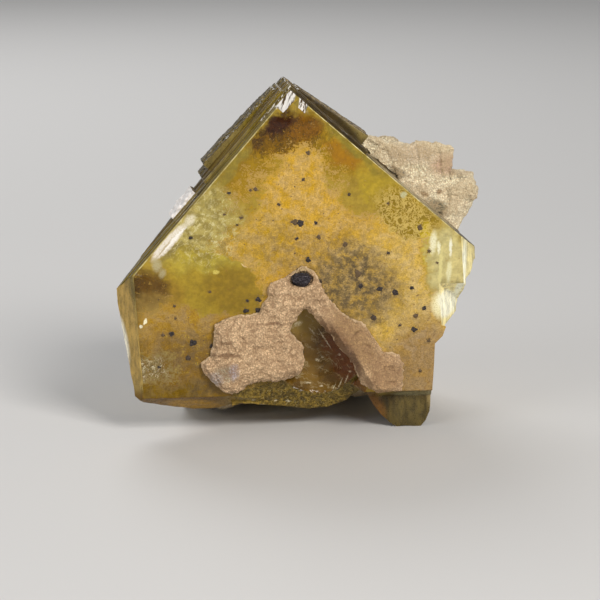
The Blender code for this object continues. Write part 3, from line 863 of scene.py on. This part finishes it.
def add_breaks(layers):
    """The broken surfaces: splintery glass round the edge, the hollow, the chips and the white bloom."""
    nodes = layers.nodes
    splinters = nodes.field(nodes.scaled(layers.place, (1.0, 0.3, 1.0)), 1.6, 3.0, 0.7)
    colour = nodes.coloured((0.30, 0.22, 0.06), layers.place, BREAK_ZONES)
    colour = nodes.shaded(colour, nodes.between(splinters, 0.72, 1.28))
    sugar = nodes.zone(layers.place, (1.0, 44.0), (9.5, 3.6), 0, 0.2)
    facets = nodes.add("SeparateColor", {0: nodes.cells(layers.place, 3.4)["Color"]}).outputs[0]
    colour = nodes.shaded(colour, nodes.between(sugar, 1.0, nodes.between(facets, 0.45, 1.65)))
    pepper = nodes.math("MULTIPLY", sugar, nodes.ramp(layers.sand, 0.45, 0.15, 0.0, 0.6))
    colour = nodes.blend(pepper, colour, (0.045, 0.032, 0.006))
    grains = nodes.ramp(nodes.cells(layers.place, 2.6)["Distance"], 0.30, 0.14)
    share = nodes.math("MULTIPLY", nodes.math("MULTIPLY", sugar, grains), layers.mottle)
    colour = nodes.blend(nodes.math("MULTIPLY", share, 0.9), colour, (0.66, 0.54, 0.22))
    clear = nodes.between(splinters, 0.50, 0.30)
    clear = nodes.between(nodes.zone(layers.place, (-15.0, 44.6), (10.0, 2.8), 3, 0.3), clear, 0.10)
    clear = nodes.between(nodes.zone(layers.place, (23.0, 28.0), (4.0, 9.0), 0, 0.3), clear, 0.12)
    clear = nodes.between(nodes.zone(layers.place, (-23.4, 35.0), (2.4, 9.0), -8, 0.3), clear, 0.15)
    layers.cover(nodes.attribute("broken"), colour, clear)
    rear = nodes.blend(splinters, (0.16, 0.11, 0.02), (0.60, 0.52, 0.26))
    layers.cover(nodes.attribute("rear"), rear, 0.5)

    wall = nodes.field(nodes.scaled(layers.warped, (1.0, 0.5, 1.0)), 0.5, 3.0, 0.5)
    hollow = nodes.blend(wall, (0.17, 0.085, 0.010), (0.36, 0.20, 0.032))
    # Darker red-brown on the hollow's right side, against the crust's right leg: partly the glass's own colour,
    # partly painted shade.
    brown = nodes.zone(layers.warped, (8.4, 38.6), (2.2, 4.2), -30, 0.5)
    hollow = nodes.blend(brown, hollow, (0.24, 0.065, 0.004))
    top = nodes.zone(layers.warped, (2.2, 32.8), (1.9, 1.9), 0, 0.6)
    hollow = nodes.blend(top, hollow, (0.48, 0.31, 0.06))
    lines = nodes.field(nodes.turned(layers.warped, 28, (0.25, 2.4, 1.0)), 1.3, 2.0, 0.6)
    glints = nodes.ramp(lines, 0.78, 0.98, 0.0, 0.55)
    hollow = nodes.blend(glints, hollow, (0.70, 0.55, 0.28))
    layers.cover(nodes.attribute("hollow"), hollow, 0.5)
    inside = nodes.math("MAXIMUM", nodes.attribute("hollow"), nodes.attribute("broken"))
    shape = nodes.moved(layers.place, nodes.noise(layers.place, 2.6, 3.0, 0.6)["Color"], 0.2)
    inside = nodes.math("MULTIPLY", inside, nodes.ramp(layers.sand, 0.25, 0.60, 0.25, 0.9))
    for across, down, length, width, turn in GLINTS:
        glint = nodes.zone(shape, (across, down), (length, width), turn, 0.7)
        layers.cover(nodes.math("MULTIPLY", glint, inside), (0.74, 0.66, 0.45), 0.1)

    # Painted reflections: the chips' white and dark streaks stand in for light reflected by their stepped broken
    # faces.
    side = nodes.turned(layers.place, 22, (2.6, 0.35, 1.0))
    streaks = nodes.field(side, 1.1, 2.0, 0.6)
    white = nodes.blend(nodes.ramp(streaks, 0.15, 0.45), (0.10, 0.065, 0.03), (0.90, 0.86, 0.80))
    layers.cover(nodes.attribute("chip"), white, 0.12)
    facet = nodes.zone(layers.place, (0.75, 1.75), (0.42, 1.6), 14, 0.2)
    layers.cover(nodes.math("MULTIPLY", facet, nodes.attribute("chip")), (0.40, 0.30, 0.06), 0.4)
    snow = nodes.blend(layers.sand, (0.80, 0.74, 0.70), (0.97, 0.95, 0.93))
    layers.cover(nodes.attribute("bloom"), snow, 0.04)


def crystal_glass():
    """Clear yellow glass, clouded in its front face by tan dust of many strengths."""
    nodes = Nodes("fluorite")
    place = nodes.face_place()
    layers = Layers(nodes, place)
    add_fibres(layers)
    add_dust(layers)
    add_flecks(layers)
    jagged = nodes.moved(place, nodes.noise(place, 2.0, 3.0, 0.6)["Color"], 0.25)
    # Painted glints and flashes of light, and one pale scratch, broken up by the sand.
    broken_up = nodes.ramp(layers.sand, 0.05, 0.50, 0.60, 1.0)
    for centre, size, turn, soft, tint in GLINT_FLASH_AND_SCRATCH_ZONES:
        share = nodes.zone(jagged, centre, size, turn, soft)
        layers.cover(nodes.math("MULTIPLY", share, broken_up), tint, 0.1)
    add_sides(layers)
    add_breaks(layers)
    rough = nodes.between(nodes.attribute("bloom"), nodes.between(layers.sand, 0.08, 0.24), 0.8)
    rough = nodes.math("ADD", rough, nodes.math("MULTIPLY", nodes.attribute("broken"), 0.18))
    swell = nodes.noise(place, 0.7, 3.0, 0.5)["Fac"]
    height = nodes.math("ADD", swell, nodes.math("MULTIPLY", layers.sand, 0.10))
    absorb = nodes.tree.nodes.new("ShaderNodeVolumeAbsorption")
    absorb.inputs["Color"].default_value = (1.0, 0.84, 0.30, 1.0)
    absorb.inputs["Density"].default_value = 55.0
    output = nodes.tree.nodes["Material Output"]
    nodes.tree.links.new(absorb.outputs[0], output.inputs["Volume"])
    return nodes.finish(
        Base_Color=layers.colour,
        Specular_IOR_Level=0.26,
        Transmission_Weight=layers.clear,
        Roughness=rough,
        IOR=1.434,
        Normal=nodes.relief(height, 0.04),
    )


def grit(point, size):
    """Small rounded grains packed side by side: high at a grain's middle and low between grains."""
    distances, _ = noise.voronoi(point / size)
    return min(1.0, distances[1] - distances[0])


ROCK_PATCHES = [
    # Grey patches along the crystal's upper right edge: partly the rock's own grey-green, partly a painted shadow
    # band.
    ((22.4, 18.8), (1.6, 1.0), 20, 0.50, (0.22, 0.19, 0.115)),
    ((16.6, 13.4), (1.3, 0.6), 35, 0.50, (0.24, 0.20, 0.13)),
    ((20.7, 16.8), (0.7, 0.3), 30, 0.40, (0.24, 0.13, 0.06)),
    ((23.0, 16.6), (0.5, 0.35), 0, 0.40, (0.28, 0.16, 0.08)),
    ((24.0, 12.6), (2.2, 1.4), 0, 0.60, (0.62, 0.42, 0.29)),
    ((19.0, 11.0), (3.5, 1.2), 5, 0.60, (0.70, 0.57, 0.40)),
]
CRUST_PATCHES = [
    ((-9.4, 39.6), (1.3, 1.0), 0, 0.50, (0.42, 0.36, 0.24)),
    ((-11.0, 40.6), (0.9, 1.0), 20, 0.50, (0.60, 0.54, 0.50)),
    ((-8.4, 39.4), (0.6, 0.9), 0, 0.60, (0.50, 0.42, 0.42)),
    ((-9.4, 35.2), (0.8, 0.25), 0, 0.60, (0.26, 0.16, 0.08)),
    ((-9.4, 37.0), (1.6, 0.3), 0, 0.60, (0.24, 0.14, 0.07)),
    ((-2.6, 32.7), (1.2, 0.2), 0, 0.60, (0.28, 0.17, 0.09)),
    ((9.0, 35.4), (2.0, 5.0), -38, 0.50, (0.47, 0.29, 0.13)),
    ((13.4, 40.6), (2.4, 2.6), 0, 0.50, (0.50, 0.31, 0.15)),
    # Darker brown on the right leg's inner side: partly the crust's own brown, partly painted shade.
    ((6.4, 35.6), (1.3, 3.6), -38, 0.50, (0.20, 0.10, 0.040)),
    ((8.4, 38.6), (0.9, 2.4), -20, 0.50, (0.22, 0.12, 0.065)),
    ((1.4, 24.9), (1.6, 0.8), 0, 0.50, (0.54, 0.40, 0.20)),
]


def make_rock_material(name, pale, dark, stain, patches, highlight_depth=1000.0):
    """Sugary rock: pale grains, darker gaps between them, brown specks and a few patches of stain and of painted
    shade, with painted shade in its low places and small pits, and a painted highlight behind a given depth.
    """
    nodes = Nodes(name)
    place = nodes.face_place()
    warped = nodes.moved(place, nodes.noise(place, 1.2, 3.0, 0.6)["Color"], 0.6)
    blotch = nodes.field(place, 0.35, 3.0, 0.6)
    sugar = nodes.field(place, 5.6, 2.0, 0.7)
    colour = nodes.blend(nodes.math("MULTIPLY", blotch, 0.45), pale, stain)
    near = nodes.ramp(nodes.split(place)[2], 18.0, 15.0)
    colour = nodes.blend(near, colour, nodes.coloured(colour, warped, patches))
    grains = nodes.cells(place, 3.6)
    tone = nodes.add("SeparateColor", {0: grains["Color"]}).outputs[0]
    colour = nodes.shaded(colour, nodes.between(tone, 0.84, 1.14))
    gaps = nodes.ramp(grains["Distance"], 0.35, 0.65, 0.0, 0.60)
    colour = nodes.blend(gaps, colour, dark)
    colour = nodes.shaded(colour, nodes.between(sugar, 0.86, 1.16))
    # Painted shade: the points that lie low between their neighbours are darkened.
    low = nodes.attribute("recess_shade")
    colour = nodes.blend(nodes.ramp(low, 0.45, 1.0, 0.0, 0.5), colour, dark)
    spots = nodes.cells(warped, 0.85)
    some = nodes.ramp(nodes.add("SeparateColor", {0: spots["Color"]}).outputs[1], 0.35, 0.45)
    there = nodes.math("MULTIPLY", nodes.ramp(spots["Distance"], 0.16, 0.08), some)
    colour = nodes.blend(nodes.math("MULTIPLY", there, 0.6), colour, (0.20, 0.10, 0.045))
    # Painted shade: small dark dots stand in for the shade in tiny pits.
    pit_shade = nodes.ramp(nodes.cells(place, 1.9)["Distance"], 0.22, 0.08, 0.0, 0.70)
    colour = nodes.blend(pit_shade, colour, dark)
    # Painted highlight: where a depth is given, as for the crust, the parts behind it, next to the crystal's face,
    # are painted pale as a lit edge.
    rim = nodes.ramp(nodes.split(place)[2], highlight_depth - 0.35, highlight_depth, 0.0, 0.65)
    colour = nodes.blend(rim, colour, (0.90, 0.68, 0.42))
    return nodes.finish(
        Base_Color=colour,
        Roughness=nodes.between(sugar, 0.92, 0.68),
        Normal=nodes.relief(nodes.math("SUBTRACT", sugar, grains["Distance"]), 0.09),
    )


def write_recess_shade(piece, values):
    """How low each point lies between its neighbours, from 0 to 1, for the material to darken as painted shade."""
    attribute = piece.data.attributes.new("recess_shade", "FLOAT", "POINT")
    attribute.data.foreach_set("value", values)


def crust_rise(point):
    """The crust's lumps and grains, in millimetres."""
    leg = 0.16 if point.x > 3.5 else 0.0
    lumps = 0.12 * noise.noise(point * 0.8) + leg * noise.noise(point * 1.5 + BACK * 3.0)
    grooves = 0.10 * noise.noise(Vector((point.x * 0.45, point.y * 1.9, 1.0)))
    grooves -= 0.14 * max(0.0, 1.0 - 6.0 * abs(noise.noise(point * 0.55 + BACK * 9.0)))
    grains = 0.13 * grit(point, 0.42) + 0.08 * grit(point + ACROSS * 7.0, 0.8)
    return lumps + grooves + grains + 0.08 * noise.noise(point * 5.0) - 0.06


def make_crust():
    """The forked crust on the front face, grown onto the crystal with no gap."""
    shape = welded("matrix_crust")
    refine(shape, lambda face, edge: 1.2 if face.normal.z > 0.9 else 0.2)
    shape.normal_update()
    low = []
    moves = []
    for vertex in shape.verts:
        point = vertex.co
        rise = crust_rise(point)
        low.append(min(1.0, max(0.0, 0.5 - 3.5 * rise)))
        if point.z > -0.32:
            moves.append(BACK * 0.32)
        else:
            ragged = 0.22 * noise.noise(point * 1.9) * (1.0 - abs(vertex.normal.z))
            moves.append(vertex.normal * (rise + ragged))
    for vertex, move in zip(shape.verts, moves):
        vertex.co += move
    material = make_rock_material(
        "tan_crust", (0.82, 0.575, 0.335), (0.34, 0.20, 0.10), (0.66, 0.44, 0.25), CRUST_PATCHES, -0.55
    )
    piece = into_piece(shape, "crust", material, "matrix_crust")
    write_recess_shade(piece, low)
    piece.data.shade_smooth()
    return piece


def facets(point, size):
    """Flat broken facets of a given size, each tilted its own way, with ledges between them."""
    _, seats = noise.voronoi(point / size)
    return size * (point / size - seats[0]).dot(noise.cell_vector(seats[0] * 7.0))


def rock_rise(point):
    """The rock's lumps, facets, ledges and grains, in millimetres outwards."""
    lumps = 0.30 * noise.fractal(point * 0.5, 0.9, 2.1, 4)
    lumps += max(-0.6, min(0.25, 0.16 * facets(point, 5.0)))
    ledges = 0.12 * noise.noise(Vector((point.x * 0.25, point.y * 1.5, point.z * 0.25)))
    grains = 0.15 * grit(point, 0.62) + 0.07 * noise.noise(point * 4.0)
    return lumps + ledges + grains - 0.10


def rock_fineness(face, edge):
    """The stretch beside the crystal that faces the front gets a finer mesh than the rest."""
    point = edge.verts[0].co
    return 0.34 if point.x > 9.0 and point.y < 24.0 and point.z < 24.0 else 0.72


def make_rock():
    shape = welded("matrix_rock")
    refine(shape, rock_fineness)
    shape.normal_update()
    low = []
    moves = []
    for vertex in shape.verts:
        rise = rock_rise(vertex.co)
        low.append(min(1.0, max(0.0, 0.5 - 2.5 * rise)))
        flat = vertex.normal.dot(DOWN) > 0.9 and vertex.co.y > CORNER.z - 0.1
        moves.append(Vector() if flat else vertex.normal * rise)
    for vertex, move in zip(shape.verts, moves):
        vertex.co += move
        vertex.co.y = min(vertex.co.y, CORNER.z)
    material = make_rock_material(
        "tan_rock", (1.0, 0.90, 0.64), (0.60, 0.44, 0.25), (1.0, 0.82, 0.57), ROCK_PATCHES
    )
    piece = into_piece(shape, "rock", material, "matrix_rock")
    write_recess_shade(piece, low)
    piece.data.shade_smooth()
    return piece


def lump(shape, centre, size, detail, roughness, chance, tone=0.0):
    """Adds one rough grain to a mesh. Its tone runs from 0, black, to 1, grey-brown."""
    tones = shape.verts.layers.float.get("tone") or shape.verts.layers.float.new("tone")
    made = bmesh.ops.create_icosphere(shape, subdivisions=detail, radius=1.0)
    offset = Vector((chance.uniform(-50, 50), chance.uniform(-50, 50), chance.uniform(-50, 50)))
    for vertex in made["verts"]:
        way = vertex.co.copy()
        reach = 1.0 + roughness * noise.noise(way * 1.3 + offset)
        vertex.co = centre + Vector(way[axis] * size[axis] * reach for axis in range(3))
        vertex[tones] = tone


def dark_mineral(name, deep, tint, dusty):
    """A near-black mineral, with tan dust on the grains that have a tone."""
    nodes = Nodes(name)
    place = nodes.face_place()
    grain = nodes.field(place, 4.0, 3.0, 0.6)
    return nodes.finish(
        Base_Color=nodes.blend(nodes.attribute("tone"), nodes.blend(grain, deep, tint), dusty),
        Specular_IOR_Level=0.3,
        Roughness=nodes.between(grain, 0.58, 0.30),
        Normal=nodes.relief(grain, 0.06),
    )


def make_grain():
    """The black grain, grown to fill its pocket in the crust."""
    shape = bmesh.new()
    made = bmesh.ops.create_icosphere(shape, subdivisions=5, radius=1.0)
    for vertex in made["verts"]:
        way = vertex.co.copy()
        lumps = 0.26 * noise.noise(way * 1.4) + 0.14 * noise.noise(way * 3.6)
        reach = 0.98 + lumps + 0.16 * grit(way, 0.45) - 0.10
        vertex.co = GRAIN_CENTRE + Vector(way[axis] * GRAIN_SIZE[axis] * reach for axis in range(3))
    material = dark_mineral("black_mineral", (0.005, 0.004, 0.006), (0.052, 0.042, 0.050), (0.2, 0.15, 0.1))
    piece = into_piece(shape, "grain", material, "black_grain")
    piece.data.shade_smooth()
    piece.data.set_sharp_from_angle(angle=math.radians(30.0))
    return piece


def add_crumbs(shape, centre, radius, chance):
    """Tiny crumbs round a speck, sparser and paler away from it, for its ragged soft edge."""
    for _ in range(int(70 * radius)):
        way = chance.uniform(0.0, 2.0 * math.pi)
        far = chance.uniform(0.0, 1.0)
        reach = radius * (0.85 + 0.75 * far * far) + 0.04
        spot = centre + Vector((math.cos(way), math.sin(way), 0.0)) * reach
        size = chance.uniform(0.04, 0.08)
        lump(shape, spot, Vector((size, size, 0.07)), 1, 0.5, chance, 0.15 + 0.6 * far)


def in_the_dust(spot):
    """Whether a place in the front face is dusty: not at its edges, in its clear window or in the hollow."""
    if spot.y < 11.0 + 0.9 * abs(spot.x):
        return False
    if spot.x > 18.6 and spot.y > 34.0:
        return False
    if -8.0 < spot.x < 12.5 and spot.y > 30.5:
        return False
    return not (-18.0 < spot.x < -4.5 and 22.5 < spot.y < 31.0)


def make_specks():
    """The dark specks, which lie almost flush in the front face."""
    chance = random.Random(SEED)
    shape = bmesh.new()
    for across, down, radius in SPECKS:
        centre = Vector((across, down, 0.04))
        tone = chance.choice((0.0, 0.0, 0.12, 0.3))
        flat = Vector((radius, radius * chance.uniform(0.75, 1.0), SPECK_BULGE))
        lump(shape, centre, flat, 3, 0.45, chance, tone)
        if radius > 0.25:
            side = Vector((chance.uniform(-0.6, 0.6), chance.uniform(-0.6, 0.6), 0.0)) * radius
            lump(shape, centre + side, flat * 0.7, 2, 0.45, chance, tone)
        add_crumbs(shape, centre, radius, chance)
    for _ in range(260):
        spot = Vector((chance.uniform(-19.0, 20.0), chance.uniform(11.0, 42.0), 0.02))
        radius = chance.uniform(0.05, 0.11)
        tone = chance.uniform(0.1, 0.8)
        if in_the_dust(spot):
            lump(shape, spot, Vector((radius, radius, 0.06)), 2, 0.5, chance, tone)
    material = dark_mineral("dark_speck", (0.012, 0.009, 0.008), (0.055, 0.042, 0.038), (0.30, 0.18, 0.06))
    piece = into_piece(shape, "specks", material)
    piece.data.shade_smooth()
    return piece


def plain(name, colour, roughness):
    nodes = Nodes(name)
    return nodes.finish(Base_Color=colour, Roughness=roughness)


def make_floor():
    mesh = bpy.data.meshes.new("floor")
    reach = 6.0
    corners = [(-reach, -reach, 0), (reach, -reach, 0), (reach, reach, 0), (-reach, reach, 0)]
    mesh.from_pydata(corners, [], [(0, 1, 2, 3)])
    mesh.materials.append(plain("pale_floor", (0.62, 0.61, 0.60), 0.7))
    floor = bpy.data.objects.new("floor", mesh)
    bpy.context.scene.collection.objects.link(floor)


def add_light(name, place, size, power, colour=(1.0, 1.0, 1.0)):
    """A soft square light that faces the specimen."""
    data = bpy.data.lights.new(name, "AREA")
    data.shape = "SQUARE"
    data.size = size
    data.energy = power
    data.color = colour
    light = bpy.data.objects.new(name, data)
    light.location = place
    aim = Vector((0.0, 0.0, 0.025)) - light.location
    light.rotation_euler = aim.to_track_quat("-Z", "Y").to_euler()
    bpy.context.scene.collection.objects.link(light)


def light_scene():
    world = bpy.data.worlds.new("studio")
    world.use_nodes = True
    backdrop = world.node_tree.nodes["Background"]
    backdrop.inputs["Color"].default_value = (0.96, 0.98, 1.0, 1.0)
    backdrop.inputs["Strength"].default_value = 0.22
    bpy.context.scene.world = world
    add_light("key", (0.28, -0.44, 0.38), 0.24, 3.4, (1.0, 0.97, 0.93))
    add_light("fill", (-0.45, -0.36, 0.22), 0.35, 1.0)
    add_light("rim", (-0.15, 0.42, 0.36), 0.30, 1.2)


def place_camera():
    data = bpy.data.cameras.new("camera")
    data.sensor_width = SENSOR
    data.lens = FOCAL_PIXELS / IMAGE_PIXELS * SENSOR
    data.clip_start = 0.01
    camera = bpy.data.objects.new("camera", data)
    look = Vector((0.0, math.cos(CAMERA_TILT), -math.sin(CAMERA_TILT)))
    camera.location = (CAMERA_TARGET - look * CAMERA_DISTANCE) * MM
    camera.rotation_euler = (math.pi / 2 - CAMERA_TILT, 0.0, 0.0)
    bpy.context.scene.collection.objects.link(camera)
    bpy.context.scene.camera = camera


place_camera()
light_scene()
make_floor()
make_crystal()
make_rock()
make_crust()
make_grain()
make_specks()
bpy.context.scene.view_settings.view_transform = "Standard"
